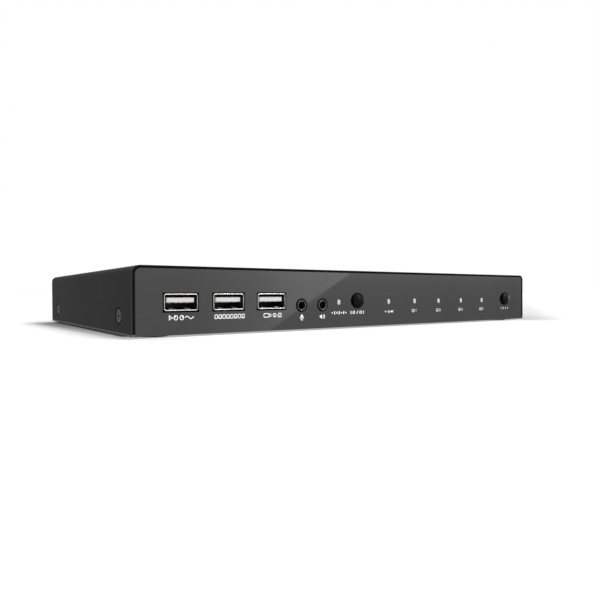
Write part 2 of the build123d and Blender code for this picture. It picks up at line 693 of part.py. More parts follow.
def make_parts():
    """Every sub-part, by the name of its node."""
    parts = {
        "top_cover": make_top_cover(),
        "chassis": make_chassis(),
        "front_panel": make_front_panel(),
        "cover_screws": make_cover_screws(),
        "main_board": make_main_board(),
        "board_standoffs": make_standoffs(),
        "board_screws": make_board_screws(),
        "heat_sink": make_heat_sink(),
        "crystal": make_crystal(),
        "capacitors": make_capacitors(),
        "power_inductor": make_power_inductor(),
        "voltage_regulator": make_voltage_regulator(),
        "beeper": make_beeper(),
        "port_contacts": make_port_contacts(),
        "jack_contacts": make_jack_contacts(),
        "indicator_leds": make_indicator_leds(),
        "video_tongues": make_video_tongues(),
        "host_inserts": make_host_inserts(),
        "power_jack_body": make_power_jack_body(),
        "power_jack_pin": make_power_jack_pin(),
        "power_jack_nut": make_power_jack_nut(),
    }
    for side_y, end in ((-1, "front"), (1, "rear")):
        for side_x, hand in ((-1, "left"), (1, "right")):
            parts[f"foot_{end}_{hand}"] = make_foot(side_x, side_y)
    for name, (place, size, leads) in CHIPS.items():
        parts[name] = leaded_chip(place, size, leads)
    for index, name in enumerate(FRONT_PORTS):
        parts[f"{name}_port_shell"] = make_port_shell(index)
        parts[f"{name}_port_tongue"] = make_port_tongue(index)
    for index, name in enumerate(JACKS):
        parts[f"{name}_jack_body"] = make_jack_body(index)
    for name, x in LAMPS.items():
        parts[f"{name}_light_pipe"] = make_light_pipe(x)
    for name, x in BUTTONS.items():
        parts[f"{name}_button_cap"] = make_button_cap(x)
        parts[f"{name}_button_plunger"] = make_button_plunger(x)
        parts[f"{name}_switch_body"] = make_switch_body(x)
    for name, x in video_places().items():
        parts[f"{name}_shell"] = make_video_shell(x)
    for index, x in enumerate(host_places()):
        parts[f"host_port_{index + 1}_shell"] = make_host_shell(x)
    return parts


os.makedirs("parts", exist_ok=True)
for name, shape in make_parts().items():
    export_step(shape, f"parts/{name}.step")
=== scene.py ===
import json
import math

import bmesh
import bpy
from mathutils import Matrix, Vector


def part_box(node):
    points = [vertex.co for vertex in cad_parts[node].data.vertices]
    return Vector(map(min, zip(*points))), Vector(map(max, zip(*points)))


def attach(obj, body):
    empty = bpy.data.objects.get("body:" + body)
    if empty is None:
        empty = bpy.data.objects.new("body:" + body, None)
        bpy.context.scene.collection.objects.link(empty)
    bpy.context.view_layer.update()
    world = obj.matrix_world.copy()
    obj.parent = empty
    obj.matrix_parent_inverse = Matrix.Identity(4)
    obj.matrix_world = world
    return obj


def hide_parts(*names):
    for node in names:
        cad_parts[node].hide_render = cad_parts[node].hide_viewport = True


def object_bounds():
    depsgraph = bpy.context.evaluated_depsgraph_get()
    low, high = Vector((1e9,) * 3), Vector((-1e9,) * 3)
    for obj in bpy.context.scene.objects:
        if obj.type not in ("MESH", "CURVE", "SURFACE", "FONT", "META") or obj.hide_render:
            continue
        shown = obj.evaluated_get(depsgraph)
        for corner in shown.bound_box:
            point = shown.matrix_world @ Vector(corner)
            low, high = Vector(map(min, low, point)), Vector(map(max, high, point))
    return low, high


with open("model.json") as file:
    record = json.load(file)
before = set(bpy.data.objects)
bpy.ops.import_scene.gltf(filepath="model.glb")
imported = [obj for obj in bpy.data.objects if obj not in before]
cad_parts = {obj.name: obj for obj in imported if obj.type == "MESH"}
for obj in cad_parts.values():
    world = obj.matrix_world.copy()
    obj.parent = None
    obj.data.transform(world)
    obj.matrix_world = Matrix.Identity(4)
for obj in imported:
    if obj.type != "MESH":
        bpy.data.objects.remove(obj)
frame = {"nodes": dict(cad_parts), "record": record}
cad_low, cad_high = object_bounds()
nodes = frame["nodes"]
MM = 0.001
WHITE = (1.0, 1.0, 1.0, 1.0)


# ---- Materials ---------------------------------------------------------------------------------
# Most of a noise's values lie between these two.
NOISE_LOW = 0.3
NOISE_HIGH = 0.7
BEVEL_SAMPLES = 6


class Surface:
    """A Principled material that is built up from noises laid out in the object's own frame.

    Its sharp edges look rounded, with a radius of edge_mm.
    """

    def __init__(self, name, metallic=0.0, ior=1.5, specular=0.5, edge_mm=0.12):
        self.material = bpy.data.materials.new(name)
        self.material.use_nodes = True
        self.tree = self.material.node_tree
        self.shader = self.tree.nodes["Principled BSDF"]
        self.shader.inputs["Metallic"].default_value = metallic
        self.shader.inputs["IOR"].default_value = ior
        self.shader.inputs["Specular IOR Level"].default_value = specular
        self.place = self.tree.nodes.new("ShaderNodeTexCoord").outputs["Object"]
        bevel = self.tree.nodes.new("ShaderNodeBevel")
        bevel.samples = BEVEL_SAMPLES
        bevel.inputs["Radius"].default_value = edge_mm * MM
        self.normal = bevel.outputs["Normal"]
        self.link(self.normal, self.shader.inputs["Normal"])

    def link(self, start, end):
        self.tree.links.new(start, end)

    def noise(self, size_mm, detail=3.0, stretch=(1.0, 1.0, 1.0)):
        """A noise whose features are about size_mm across, drawn out along an axis by stretch."""
        mapping = self.tree.nodes.new("ShaderNodeMapping")
        mapping.inputs["Scale"].default_value = [1.0 / s for s in stretch]
        noise = self.tree.nodes.new("ShaderNodeTexNoise")
        noise.inputs["Scale"].default_value = 1.0 / (size_mm * MM)
        noise.inputs["Detail"].default_value = detail
        self.link(self.place, mapping.inputs["Vector"])
        self.link(mapping.outputs["Vector"], noise.inputs["Vector"])
        return noise.outputs["Fac"]

    def ramp(self, factor, stops):
        """A colour ramp through (position, (r, g, b)) stops."""
        ramp = self.tree.nodes.new("ShaderNodeValToRGB")
        elements = ramp.color_ramp.elements
        while len(elements) < len(stops):
            elements.new(0.5)
        for element, (position, color) in zip(elements, stops):
            element.position = position
            element.color = (*color, 1.0)
        self.link(factor, ramp.inputs["Fac"])
        return ramp.outputs["Color"]

    def span(self, factor, low, high):
        """A noise stretched to run from low to high."""
        span = self.tree.nodes.new("ShaderNodeMapRange")
        span.inputs["From Min"].default_value = NOISE_LOW
        span.inputs["From Max"].default_value = NOISE_HIGH
        span.inputs["To Min"].default_value = low
        span.inputs["To Max"].default_value = high
        self.link(factor, span.inputs["Value"])
        return span.outputs["Result"]

    def along_y(self, start, end):
        """A factor that runs from 0 to 1 between two places along Y."""
        split = self.tree.nodes.new("ShaderNodeSeparateXYZ")
        self.link(self.place, split.inputs["Vector"])
        span = self.tree.nodes.new("ShaderNodeMapRange")
        span.inputs["From Min"].default_value = start
        span.inputs["From Max"].default_value = end
        self.link(split.outputs["Y"], span.inputs["Value"])
        return span.outputs["Result"]

    def color(self, factor, dark, light):
        stops = [(NOISE_LOW, dark), (NOISE_HIGH, light)]
        self.link(self.ramp(factor, stops), self.shader.inputs["Base Color"])

    def roughness(self, factor, low, high):
        self.link(self.span(factor, low, high), self.shader.inputs["Roughness"])

    def bump(self, factor, height_mm, strength=1.0):
        bump = self.tree.nodes.new("ShaderNodeBump")
        bump.inputs["Distance"].default_value = height_mm * MM
        bump.inputs["Strength"].default_value = strength
        self.link(factor, bump.inputs["Height"])
        self.link(self.normal, bump.inputs["Normal"])
        self.link(bump.outputs["Normal"], self.shader.inputs["Normal"])


def shades(color, spread):
    """A darker and a lighter shade of a colour."""
    dark = tuple(channel * (1 - spread) for channel in color)
    light = tuple(min(1.0, channel * (1 + spread)) for channel in color)
    return dark, light


# Clouds of colour are this many times as wide as a surface's grain.
CLOUD_WIDTH = 14


def plain(name, color, spread, rough, grain_mm, bump_mm=0.0, stretch=(1, 1, 1), **kind):
    """A surface of one material: a fine grain in its roughness and relief, and wide clouds in its colour."""
    surface = Surface(name, **kind)
    grain = surface.noise(grain_mm, 3.0, stretch)
    cloud = surface.noise(grain_mm * CLOUD_WIDTH, 2.0)
    surface.color(cloud, *shades(color, spread))
    surface.roughness(grain, *rough)
    if bump_mm:
        surface.bump(grain, bump_mm)
    return surface.material


# How much the paint shines, by the distance in millimetres behind the cover's front edge. Less shine on the
# cut edge paints it as a dead black shade, and more shine on the rim behind it paints a highlight line along
# it.
RIM_FADE = 2.4
EDGE_SHADE_AND_HIGHLIGHT_SHINE = [(0.05, 0.0), (0.1, 0.26), (1.8, 0.26), (RIM_FADE, 0.135)]


def powder_coat():
    """Black powder coat: a fine orange peel over a faint cloud of wear."""
    surface = Surface("cover_paint", edge_mm=0.45)
    peel = surface.noise(0.5, 2.0)
    cloud = surface.noise(26, 3.0)
    surface.color(cloud, (0.0055, 0.0055, 0.006), (0.0075, 0.0075, 0.0078))
    surface.roughness(peel, 0.48, 0.62)
    surface.bump(peel, 0.012, 0.6)
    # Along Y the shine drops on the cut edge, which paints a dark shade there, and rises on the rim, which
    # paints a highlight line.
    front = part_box("top_cover")[0].y
    back = surface.along_y(front, front + RIM_FADE * MM)
    stops = [(place / RIM_FADE, (shine,) * 3) for place, shine in EDGE_SHADE_AND_HIGHLIGHT_SHINE]
    surface.link(surface.ramp(back, stops), surface.shader.inputs["Specular IOR Level"])
    return surface.material


def polished_panel():
    """Dark grey polished acrylic with faint wiping marks."""
    surface = Surface("panel_gloss", ior=1.49)
    cloud = surface.noise(60, 2.0)
    wipes = surface.noise(9, 5.0, stretch=(6.0, 1.0, 1.0))
    surface.color(cloud, (0.0052, 0.0052, 0.0055), (0.0062, 0.0062, 0.0065))
    surface.roughness(wipes, 0.025, 0.045)
    return surface.material


def board_mask():
    """Green solder mask over copper tracks, which show as slightly paler raised bands."""
    surface = Surface("board_green")
    wave = surface.tree.nodes.new("ShaderNodeTexWave")
    wave.wave_type = "BANDS"
    wave.bands_direction = "DIAGONAL"
    wave.inputs["Scale"].default_value = 160.0
    wave.inputs["Distortion"].default_value = 6.0
    surface.link(surface.place, wave.inputs["Vector"])
    tracks = wave.outputs["Fac"]
    stops = [(0.45, (0.008, 0.07, 0.03)), (0.6, (0.015, 0.12, 0.05))]
    surface.link(surface.ramp(tracks, stops), surface.shader.inputs["Base Color"])
    surface.roughness(surface.noise(4), 0.28, 0.4)
    surface.bump(tracks, 0.03)
    return surface.material


MILKY_SPREAD = 0.06
MILKY_WEIGHT = 0.2


def milky(name, color, rough, grain_mm, depth_mm):
    """A pale plastic that lets a little light in, to about depth_mm."""
    surface = Surface(name, ior=1.46, specular=0.3)
    cloud = surface.noise(grain_mm, 2.0)
    surface.color(cloud, *shades(color, MILKY_SPREAD))
    surface.roughness(cloud, *rough)
    surface.shader.inputs["Subsurface Weight"].default_value = MILKY_WEIGHT
    surface.shader.inputs["Subsurface Scale"].default_value = depth_mm * MM
    surface.shader.inputs["Subsurface Radius"].default_value = (1.0, 1.0, 1.0)
    return surface.material


MILKY = {
    "lens_white": {"color": (0.42, 0.425, 0.43), "rough": (0.18, 0.3), "grain_mm": 0.8, "depth_mm": 0.05},
    "port_white": {"color": (0.47, 0.47, 0.465), "rough": (0.35, 0.45), "grain_mm": 0.7, "depth_mm": 0.025},
    "ink_white": {"color": (0.8, 0.8, 0.8), "rough": (0.45, 0.55), "grain_mm": 0.5, "depth_mm": 0.0025},
}
PAINTS_AND_PLASTICS = {
    "chassis_paint": {"color": (0.016, 0.016, 0.0165), "spread": 0.12, "rough": (0.4, 0.5), "grain_mm": 0.5,
                      "bump_mm": 0.01, "specular": 0.75, "edge_mm": 0.4},
    "foot_rubber": {"color": (0.012, 0.012, 0.012), "spread": 0.15, "rough": (0.75, 0.88), "grain_mm": 0.3,
                    "bump_mm": 0.02, "specular": 0.2},
    "port_black": {"color": (0.008, 0.008, 0.008), "spread": 0.2, "rough": (0.4, 0.55), "grain_mm": 0.3,
                   "bump_mm": 0.005, "specular": 0.3},
    "jack_black": {"color": (0.003, 0.003, 0.0033), "spread": 0.15, "rough": (0.4, 0.55), "grain_mm": 0.4,
                   "bump_mm": 0.004, "specular": 0.05},
    "button_black": {"color": (0.002, 0.002, 0.0022), "spread": 0.1, "rough": (0.1, 0.16), "grain_mm": 1.5,
                     "specular": 0.05},
    "switch_plastic": {"color": (0.03, 0.03, 0.03), "spread": 0.15, "rough": (0.4, 0.55), "grain_mm": 0.4,
                       "bump_mm": 0.006},
    "chip_black": {"color": (0.016, 0.016, 0.017), "spread": 0.2, "rough": (0.5, 0.66), "grain_mm": 0.15,
                   "bump_mm": 0.008},
    "ferrite": {"color": (0.05, 0.05, 0.05), "spread": 0.25, "rough": (0.6, 0.75), "grain_mm": 0.2,
                "bump_mm": 0.02},
}
METALS = {
    "screw_black": {"color": (0.055, 0.055, 0.057), "spread": 0.25, "rough": (0.2, 0.32), "grain_mm": 0.4},
    "port_steel": {"color": (0.4, 0.395, 0.385), "spread": 0.06, "rough": (0.2, 0.34), "grain_mm": 0.25,
                   "stretch": (1, 12, 1)},
    "contact_gold": {"color": (0.34, 0.27, 0.15), "spread": 0.08, "rough": (0.2, 0.32), "grain_mm": 0.3},
    "ring_nickel": {"color": (0.2, 0.2, 0.2), "spread": 0.08, "rough": (0.3, 0.4), "grain_mm": 0.2},
    "standoff_brass": {"color": (0.6, 0.45, 0.2), "spread": 0.08, "rough": (0.25, 0.4), "grain_mm": 0.3},
    "steel_zinc": {"color": (0.55, 0.55, 0.57), "spread": 0.08, "rough": (0.22, 0.38), "grain_mm": 0.5},
    "heat_sink_aluminium": {"color": (0.5, 0.5, 0.52), "spread": 0.06, "rough": (0.3, 0.45), "grain_mm": 0.4},
    "can_aluminium": {"color": (0.7, 0.7, 0.71), "spread": 0.05, "rough": (0.18, 0.3), "grain_mm": 0.5},
}


def make_materials():
    """One material for each material slot of the record, and the finishes ink_white and ring_nickel."""
    made = {"cover_paint": powder_coat(), "panel_gloss": polished_panel(), "board_green": board_mask()}
    for name, look in MILKY.items():
        made[name] = milky(name, **look)
    for name, look in PAINTS_AND_PLASTICS.items():
        made[name] = plain(name, **look)
    for name, look in METALS.items():
        made[name] = plain(name, metallic=1.0, **look)
    return made


def paint_nodes():
    """Gives each CAD node the material of its slot."""
    for part in frame["record"]["subparts"]:
        mesh = nodes[part["node"]].data
        mesh.materials.clear()
        mesh.materials.append(materials[part["material_slot"]])


# ---- Mesh helpers --------------------------------------------------------------------------------
def finished(name, bm, slot, body="case", finish=None, smooth_degrees=None):
    """Turns a bmesh in millimetres into a piece that rides on a body."""
    bmesh.ops.recalc_face_normals(bm, faces=bm.faces)
    bmesh.ops.scale(bm, vec=(MM, MM, MM), verts=bm.verts)
    mesh = bpy.data.meshes.new(name)
    bm.to_mesh(mesh)
    bm.free()
    mesh.materials.append(materials[finish or slot])
    if smooth_degrees:
        mesh.shade_smooth()
        mesh.set_sharp_from_angle(angle=math.radians(smooth_degrees))
    piece = bpy.data.objects.new(name, mesh)
    bpy.context.scene.collection.objects.link(piece)
    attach(piece, body)
    return piece


def arc(middle, radius, start, end, steps=12):
    """Points along an arc between two angles in degrees."""
    points = []
    for i in range(steps + 1):
        angle = math.radians(start + (end - start) * i / steps)
        points.append((middle[0] + radius * math.cos(angle), middle[1] + radius * math.sin(angle)))
    return points


def circle(middle, radius, steps=24):
    return arc(middle, radius, 0, 360, steps)[:-1]


def rounded(middle, width, height, radius, steps=5):
    """The outline of a rectangle with round corners."""
    points = []
    for quarter, (x, z) in enumerate(((1, 1), (-1, 1), (-1, -1), (1, -1))):
        corner = (middle[0] + x * (width / 2 - radius), middle[1] + z * (height / 2 - radius))
        points += arc(corner, radius, 90 * quarter, 90 * quarter + 90, steps)
    return points


def loft(loops, closed=False):
    """A skin through outlines, each given as (points in X and Z, Y) with the same number of points."""
    bm = bmesh.new()
    rows = [[bm.verts.new((x, y, z)) for x, z in points] for points, y in loops]
    following = rows[1:] + rows[:1] if closed else rows[1:]
    for first, second in zip(rows, following):
        for i in range(len(first)):
            j = (i + 1) % len(first)
            bm.faces.new((first[i], first[j], second[j], second[i]))
    if not closed:
        bm.faces.new(rows[0])
        bm.faces.new(rows[-1])
    return bm


def middle_x(node):
    low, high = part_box(node)
    return (low.x + high.x) / 2 / MM


# ---- Front ports ---------------------------------------------------------------------------------
# Millimetres, as in all the mesh helpers. The opening's width and height come first.
PORT_OPENING = (12.5, 5.5)
PORT_WALL = 0.3
PORT_LIP = 0.42
PORT_LONG = 14.0
# The shell's section, from its outer face round the mouth to its inner face. Each step is how far it
# stands outside the opening at the sides, and above and below, then the radius of its corners and its
# depth behind the mouth.
SHELL_SECTION = [
    (PORT_WALL, PORT_WALL, 0.6, PORT_LONG),
    (PORT_WALL, PORT_WALL, 0.6, 1.3),
    (PORT_WALL, PORT_LIP - 0.06, 0.75, 0.5),
    (PORT_WALL, PORT_LIP, 0.8, 0.2),
    (PORT_WALL - 0.08, PORT_LIP - 0.06, 0.75, 0.07),
    (PORT_WALL - 0.15, PORT_LIP - 0.16, 0.7, 0.0),
    (0.08, 0.12, 0.55, 0.0),
    (0.03, 0.05, 0.45, 0.06),
    (0.0, 0.0, 0.4, 0.25),
    (0.0, 0.0, 0.4, PORT_LONG),
]
# The lining's section, in the same terms. Its black walls just inside the shell are painted shade that
# darkens the socket's inside, and its back stands for the moulding behind the plug.
SHADE_LINING_SECTION = [
    (-0.02, -0.02, 0.4, PORT_LONG - 2.5),
    (-0.02, -0.02, 0.4, 0.7),
    (-0.12, -0.12, 0.35, 0.75),
    (-0.14, -0.14, 0.35, PORT_LONG - 2.8),
    (-2.3, -2.3, 0.1, PORT_LONG - 2.9),
    (-2.3, -2.3, 0.1, PORT_LONG - 2.5),
]
# The springs stand aside of the socket's middle. Their shape is depth behind the mouth, and height.
SPRING_SHAPE = [(1.6, 0.0), (3.0, 0.28), (4.6, 0.62), (5.8, 0.72), (6.8, 0.5), (7.6, 0.2)]
SPRING_ASIDE = 3.1
SPRING_LIFT = 0.16
SPRING_HALF = 1.05
SPRING_TAPER = 0.04
SPRING_THICK = 0.14


def make_port(name):
    """A folded shell whose mouth is flared above and below, and a black lining inside it, whose walls are
    painted shade over the shell's inside and whose back is the moulding behind the plug.
    """
    low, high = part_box(f"{name}_port_shell")
    mouth = low.y / MM
    wide, tall = PORT_OPENING
    middle = ((low.x + high.x) / 2 / MM, high.z / MM - PORT_LIP - tall / 2)

    def skin(section):
        loops = []
        for side, top, corner, deep in section:
            outline = rounded(middle, wide + 2 * side, tall + 2 * top, corner)
            loops.append((outline, mouth + deep))
        return loft(loops, closed=True)

    shell = finished(f"{name}_socket_shell", skin(SHELL_SECTION), "port_steel", smooth_degrees=50)
    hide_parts(f"{name}_port_shell")
    # The lining's black walls paint the shade inside the socket.
    finished(f"{name}_socket_shade_lining", skin(SHADE_LINING_SECTION), "port_black", smooth_degrees=40)
    make_springs(name, middle, mouth)


def make_springs(name, middle, mouth):
    """Two leaf springs on the floor of the socket, which hold the plug."""
    bm = bmesh.new()
    floor = middle[1] - PORT_OPENING[1] / 2 + SPRING_LIFT
    for side in (-1, 1):
        x = middle[0] + side * SPRING_ASIDE
        rows = []
        for deep, low in SPRING_SHAPE:
            half = SPRING_HALF - SPRING_TAPER * deep
            high = low + SPRING_THICK
            corners = ((-half, low), (half, low), (half, high), (-half, high))
            rows.append([bm.verts.new((x + across, mouth + deep, floor + rise)) for across, rise in corners])
        for first, second in zip(rows, rows[1:]):
            for i in range(4):
                j = (i + 1) % 4
                bm.faces.new((first[i], first[j], second[j], second[i]))
        bm.faces.new(rows[0])
        bm.faces.new(rows[-1])
    finished(f"{name}_socket_springs", bm, "port_steel", finish="ring_nickel", smooth_degrees=40)


# ---- Audio jacks ---------------------------------------------------------------------------------
# The sleeve's section: radius, and depth behind the jack's face.
SLEEVE_PROFILE = [(1.8, 6.0), (1.8, 0.08), (1.82, -0.02), (1.88, -0.06), (1.94, -0.02), (1.96, 0.06),
                  (1.96, 6.0)]


def jack_middle(name):
    """The middle of a jack's bore in X and Z, from the record's mount."""
    for mount in frame["record"]["mounts"]:
        if mount["name"] == f"{name}_jack":
            return mount["pos_m"][0] / MM, mount["pos_m"][2] / MM


def make_jack_sleeve(name):
    """The nickel sleeve that lines a jack's bore and ends in a thin raised ring."""
    middle = jack_middle(name)
    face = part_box(f"{name}_jack_body")[0].y / MM
    loops = [(circle(middle, radius, 40), face + deep) for radius, deep in SLEEVE_PROFILE]
    skin = loft(loops, closed=True)
    finished(f"{name}_jack_sleeve", skin, "steel_zinc", finish="ring_nickel", smooth_degrees=50)


# ---- Printed marks -------------------------------------------------------------------------------
INK_THICK = 0.02
# A line's corner sticks out by no more than half the line's width, divided by this.
MITRE_LIMIT = 0.5


class Print:
    """Flat marks printed on an upright face, drawn in millimetres around a middle point.

    The side is -1 for the front, whose marks face -Y, and 1 for the rear.
    """

    def __init__(self, name, x, z, surface, side=-1):
        self.name = name
        self.middle = (x, z)
        self.surface = surface
        self.side = side
        self.bm = bmesh.new()

    def spot(self, point):
        across = self.middle[0] - self.side * point[0]
        return self.bm.verts.new((across, self.surface, self.middle[1] + point[1]))

    def fill(self, points):
        self.bm.faces.new([self.spot(p) for p in points])

    def line(self, points, closed=False, width=0.3):
        """A stroke of even width along the points, with mitred corners."""
        points = [Vector(p) for p in points]
        last = len(points) - 1
        edges = []
        for i, point in enumerate(points):
            before = points[i - 1] if closed or i else None
            after = points[(i + 1) % (last + 1)] if closed or i < last else None
            coming = (point - before).normalized() if before else (after - point).normalized()
            going = (after - point).normalized() if after else coming
            along = (coming + going).normalized()
            across = Vector((-along.y, along.x))
            reach = width / 2 / max(MITRE_LIMIT, across.dot(Vector((-coming.y, coming.x))))
            edges.append((self.spot(point + across * reach), self.spot(point - across * reach)))
        follow = edges[1:] + edges[:1] if closed else edges[1:]
        for a, b in zip(edges, follow):
            self.bm.faces.new((a[0], b[0], b[1], a[1]))

    def done(self):
        """Thickens the marks into ink and finishes the piece."""
        raised = bmesh.ops.extrude_face_region(self.bm, geom=self.bm.faces[:])["geom"]
        verts = [item for item in raised if isinstance(item, bmesh.types.BMVert)]
        bmesh.ops.translate(self.bm, vec=(0, self.side * INK_THICK, 0), verts=verts)
        return finished(self.name, self.bm, "lens_white", finish="ink_white")


def draw_mouse(mark):
    """A pointer, two mice with their left and right keys marked, and a cable."""
    mark.line([(-4.7, 0.8), (-3.4, -0.1), (-4.1, -0.15), (-4.7, -0.75)], closed=True, width=0.28)
    for x, side in ((-2.2, -1), (0.1, 1)):
        mark.line(rounded((x, 0), 1.35, 1.6, 0.65), closed=True, width=0.28)
        mark.fill(rounded((x + side * 0.3, 0.3), 0.42, 0.6, 0.2))
    wave = [(x, 0.5 * math.sin((x - 1.4) * 2.1)) for x in (1.4, 1.9, 2.4, 2.9, 3.4, 3.9, 4.4, 4.8)]
    mark.line(wave, width=0.3)


def draw_keyboard(mark):
    """A row of keys."""
    for i in range(8):
        x = -5.8 + 1.66 * i
        mark.line(rounded((x, 0), 1.1, 1.45, 0.25, 3), closed=True, width=0.27)
        if i % 2:
            mark.line([(x - 0.2, -0.25), (x + 0.2, -0.25)], width=0.26)


def draw_device(mark):
    """A plug-in memory stick, a disc and a card."""
    mark.line(rounded((-2.9, 0), 2.4, 1.45, 0.3, 3), closed=True, width=0.28)
    mark.line([(-1.6, 0.42), (-0.75, 0.42), (-0.75, -0.42), (-1.6, -0.42)], width=0.25)
    mark.line(circle((0.95, 0), 0.72, 20), closed=True, width=0.28)
    mark.fill(circle((0.95, 0), 0.2, 10))
    mark.line([(2.6, -0.72), (2.6, 0.3), (3.0, 0.72), (4.1, 0.72), (4.1, -0.72)], closed=True, width=0.28)
    mark.line([(3.1, -0.1), (3.65, -0.1)], width=0.3)


def draw_microphone(mark):
    mark.fill(rounded((0, 0.42), 0.95, 1.5, 0.46))
    mark.line([(-0.85, 0.3)] + arc((0, 0.05), 0.85, 180, 360) + [(0.85, 0.3)], width=0.26)
    mark.line([(0, -0.9), (0, -1.25)], width=0.3)
    mark.line([(-0.5, -1.2), (0.5, -1.2)], width=0.24)


def draw_speaker(mark):
    mark.fill([(-1.35, -0.42), (-0.9, -0.42), (-0.15, -1.0), (-0.15, 1.0), (-0.9, 0.42), (-1.35, 0.42)])
    for radius in (0.6, 1.15):
        mark.line(arc((0.05, 0), radius, -55, 55, 8), width=0.26)


def draw_sound(mark):
    """A row of level bars."""
    for i, half in enumerate((0.3, 0.68, 0.45, 0.7, 0.35, 0.62, 0.28)):
        x = -3.9 + 1.3 * i
        mark.line([(x, -half), (x, half)], width=0.5)


def draw_on_off(mark):
    """The standard marks for on and off."""
    mark.line([(-3.9, -0.68), (-3.9, 0.68)], width=0.45)
    mark.line(circle((-2.2, 0), 0.56, 16), closed=True, width=0.32)
    mark.line([(-0.6, -0.75), (0.3, 0.75)], width=0.36)
    mark.line(circle((1.8, 0), 0.56, 16), closed=True, width=0.32)
    mark.line([(3.5, -0.68), (3.5, 0.68)], width=0.45)


def draw_power(mark):
    """A lightning bolt, the standard standby mark and a plug."""
    mark.fill([(-2.75, -0.1), (-2.2, 0.65), (-2.3, 0.12), (-1.75, 0.12), (-2.35, -0.65), (-2.2, -0.1)])
    mark.line(arc((0, -0.05), 0.52, 125, 415, 16), width=0.24)
    mark.line([(0, 0.1), (0, 0.68)], width=0.24)
    mark.line([(-1.35, 0), (-0.9, 0)], width=0.25)
    mark.line([(0.95, 0), (1.5, 0)], width=0.25)
    mark.fill([(1.5, -0.45), (2.2, -0.45), (2.2, 0.45), (1.5, 0.45)])
    for z in (-0.28, 0.28):
        mark.line([(2.2, z), (2.9, z)], width=0.2)


DIGITS = {
    1: [(-0.28, 0.4), (0.05, 0.72), (0.05, -0.72)],
    2: arc((0, 0.32), 0.4, 170, -30, 8) + [(-0.42, -0.6), (0.45, -0.6)],
    3: arc((-0.02, 0.33), 0.36, 150, -80, 8) + arc((-0.02, -0.3), 0.4, 80, -150, 8),
    4: [(0.42, -0.3), (-0.42, -0.3), (0.2, 0.72), (0.2, -0.72)],
}


def draw_digit(mark, number, x, size, width):
    mark.line([(x + size * px, size * pz) for px, pz in DIGITS[number]], width=width)


def draw_monitor(mark, x, size, width):
    mark.line(rounded((x, 0.12 * size), 1.5 * size, 0.95 * size, 0.12 * size, 2), closed=True, width=width)
    mark.line([(x - 0.45 * size, -0.65 * size), (x + 0.45 * size, -0.65 * size)], width=width)


# Each mark's node, how far aside of its middle it stands, and how high over the panel's lower edge.
FRONT_MARKS = {
    "mouse": ("mouse_port_shell", 0.1, 6.35, draw_mouse),
    "keyboard": ("keyboard_port_shell", 0.4, 6.3, draw_keyboard),
    "device": ("device_port_shell", 0.4, 6.25, draw_device),
    "microphone": ("microphone_jack_body", 0.1, 5.05, draw_microphone),
    "speaker": ("speaker_jack_body", -0.1, 5.05, draw_speaker),
    "sound": ("audio_light_pipe", 0.2, 6.5, draw_sound),
    "on_off": ("audio_button_cap", 0.0, 6.45, draw_on_off),
    "power": ("power_light_pipe", 0.2, 6.4, draw_power),
}
NUMBERS_UP = 6.45
COMPUTER_ASIDE = -0.1
SELECT_ASIDE = -0.35
SELECT_PITCH = 2.1
MIDDLE_NUMBER = (len(DIGITS) + 1) / 2


def print_front_marks():
    """Each mark stands under the socket, lamp or button that it names."""
    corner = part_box("front_panel")[0] / MM
    for name, (node, aside, up, draw) in FRONT_MARKS.items():
        mark = Print(f"mark_{name}", middle_x(node) + aside, corner.z + up, corner.y)
        draw(mark)
        mark.done()
    for number in DIGITS:
        x = middle_x(f"computer_{number}_light_pipe") + COMPUTER_ASIDE
        mark = Print(f"mark_computer_{number}", x, corner.z + NUMBERS_UP, corner.y)
        draw_monitor(mark, x=-0.8, size=1.0, width=0.22)
        draw_digit(mark, number, x=1.15, size=0.75, width=0.24)
        mark.done()
    x = middle_x("select_button_cap") + SELECT_ASIDE
    mark = Print("mark_select", x, corner.z + NUMBERS_UP, corner.y)
    for number in DIGITS:
        x = SELECT_PITCH * (number - MIDDLE_NUMBER)
        draw_digit(mark, number, x, size=0.68, width=0.24)
    mark.done()


REAR_NUMBERS_DOWN = 2.6
REAR_MONITOR_DOWN = 6.0


def print_rear_marks():
    """A number over each computer's pair of sockets, and a monitor over the video output."""
    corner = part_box("chassis")[1] / MM
    for number in DIGITS:
        x = (middle_x(f"video_in_{number}_shell") + middle_x(f"host_port_{number}_shell")) / 2
        mark = Print(f"mark_rear_{number}", x, corner.z - REAR_NUMBERS_DOWN, corner.y, side=1)
        draw_digit(mark, number, x=1.7, size=1.2, width=0.35)
        draw_monitor(mark, x=-0.9, size=1.7, width=0.3)
        mark.done()
    x = middle_x("video_out_shell")
    mark = Print("mark_monitor", x, corner.z - REAR_MONITOR_DOWN, corner.y, side=1)
    draw_monitor(mark, x=0.0, size=2.4, width=0.35)
    mark.done()


# ---- Stage -------------------------------------------------------------------------------------
FLOOR_HALF = 30.0


def staged(name, corners, material):
    """A flat stage piece with the given corners, in metres."""
    mesh = bpy.data.meshes.new(name)
    mesh.from_pydata(corners, [], [tuple(range(len(corners)))])
    mesh.materials.append(material)
    piece = bpy.data.objects.new(name, mesh)
    bpy.context.scene.collection.objects.link(piece)
    return piece


